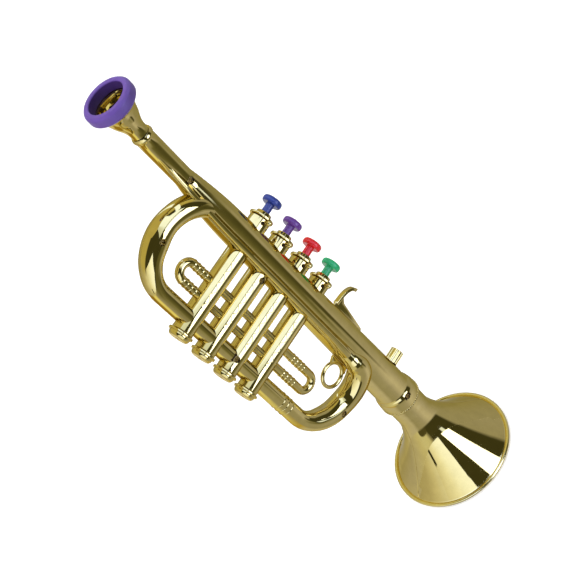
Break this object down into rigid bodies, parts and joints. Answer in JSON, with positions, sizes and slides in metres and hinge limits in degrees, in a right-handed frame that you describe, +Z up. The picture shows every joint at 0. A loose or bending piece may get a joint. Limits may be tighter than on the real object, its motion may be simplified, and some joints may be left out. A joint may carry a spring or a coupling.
{
  "type": "toy trumpet",
  "caption": "Gold-coloured toy trumpet with sprung coloured push buttons, a loop of tube with side slides, a flared bell and a purple mouthpiece ring.",
  "frame": {"origin": "middle of the footprint, on the surface that the bell's rim stands on", "axes": "+Z up the main tube from the bell to the mouthpiece, +X towards the buttons, -Y towards the side that shows the screws"},
  "size_m": [0.1068, 0.0832, 0.368],
  "materials": {
    "gold_plate": "vacuum-metallised pale gold, mirror bright",
    "ring_purple": "satin moulded",
    "button_green": "semi-gloss moulded",
    "button_red": "semi-gloss moulded",
    "button_purple": "semi-gloss moulded",
    "button_blue": "semi-gloss moulded",
    "spring_steel": "drawn wire",
    "screw_steel": "plain self-tapping screw",
    "reed_brass": "rolled strip",
    "pad_rubber": "matt",
    "chest_plastic": "unplated moulding"
  },
  "bodies": {
    "trumpet": {"back_body_shell": "gold_plate", "bell": "gold_plate", "finger_hook": "gold_plate", "finger_ring": "gold_plate", "front_body_shell": "gold_plate", "lower_side_slide": "gold_plate", "lyre_socket": "gold_plate", "mouthpiece_cup": "gold_plate", "mouthpiece_grille": "gold_plate", "mouthpiece_ring": "ring_purple", "reed_block": "chest_plastic", "reed_blue": "reed_brass", "reed_deck": "chest_plastic", "reed_green": "reed_brass", "reed_purple": "reed_brass", "reed_red": "reed_brass", "screw_collar": "screw_steel", "screw_lead": "screw_steel", "screw_lower_bend": "screw_steel", "screw_lower_run": "screw_steel", "screw_upper_bend": "screw_steel", "screw_valve": "screw_steel", "upper_side_slide": "gold_plate", "valve_foot_cap_blue": "gold_plate", "valve_foot_cap_green": "gold_plate", "valve_foot_cap_purple": "gold_plate", "valve_foot_cap_red": "gold_plate", "valve_spring_blue": "spring_steel", "valve_spring_green": "spring_steel", "valve_spring_purple": "spring_steel", "valve_spring_red": "spring_steel", "valve_top_cap_blue": "gold_plate", "valve_top_cap_green": "gold_plate", "valve_top_cap_purple": "gold_plate", "valve_top_cap_red": "gold_plate"},
    "button_green": {"valve_button_green": "button_green", "valve_pad_green": "pad_rubber"},
    "button_red": {"valve_button_red": "button_red", "valve_pad_red": "pad_rubber"},
    "button_purple": {"valve_button_purple": "button_purple", "valve_pad_purple": "pad_rubber"},
    "button_blue": {"valve_button_blue": "button_blue", "valve_pad_blue": "pad_rubber"}
  },
  "joints": [
    {"name": "press_green", "type": "slide", "parent": "trumpet", "child": "button_green", "axis": [-1, 0, 0], "range_m": [0, 0.0045], "stiffness_N_per_m": 250, "springref_m": -0.002, "deforming": ["valve_spring_green"]},
    {"name": "press_red", "type": "slide", "parent": "trumpet", "child": "button_red", "axis": [-1, 0, 0], "range_m": [0, 0.0045], "stiffness_N_per_m": 250, "springref_m": -0.002, "deforming": ["valve_spring_red"]},
    {"name": "press_purple", "type": "slide", "parent": "trumpet", "child": "button_purple", "axis": [-1, 0, 0], "range_m": [0, 0.0045], "stiffness_N_per_m": 250, "springref_m": -0.002, "deforming": ["valve_spring_purple"]},
    {"name": "press_blue", "type": "slide", "parent": "trumpet", "child": "button_blue", "axis": [-1, 0, 0], "range_m": [0, 0.0045], "stiffness_N_per_m": 250, "springref_m": -0.002, "deforming": ["valve_spring_blue"]}
  ]
}
